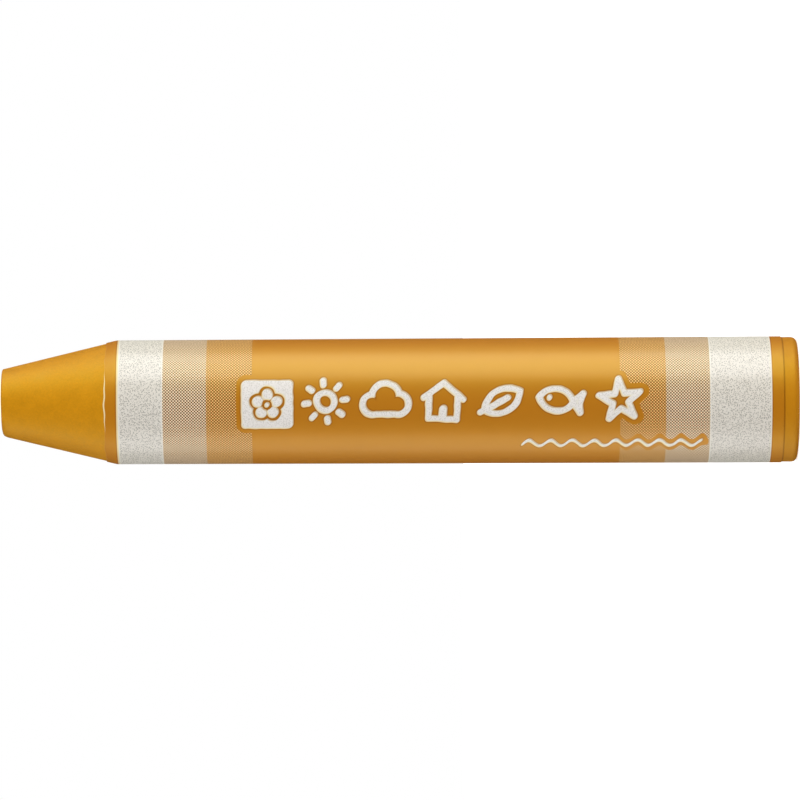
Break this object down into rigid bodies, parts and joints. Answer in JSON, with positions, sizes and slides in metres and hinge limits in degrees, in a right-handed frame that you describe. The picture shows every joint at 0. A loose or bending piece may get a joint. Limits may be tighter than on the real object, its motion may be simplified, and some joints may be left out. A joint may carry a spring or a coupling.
{
  "type": "wax crayon",
  "caption": "Thick round wax crayon with a flat-nosed conical tip, a flat butt and a printed film sleeve that leaves both ends bare.",
  "frame": {"origin": "middle of the flat butt face, on which the crayon stands", "axes": "+Z along the crayon's axis from the butt to the nose; +Y towards the seam of the film sleeve"},
  "size_m": [0.0112, 0.0112, 0.07],
  "materials": {
    "wax": "satin ochre wax, faintly mottled",
    "printed_film": "glossy thin film printed ochre, with white and halftone bands"
  },
  "bodies": {
    "root": {"wax_stick": "wax", "sleeve": "printed_film"}
  },
  "joints": []
}
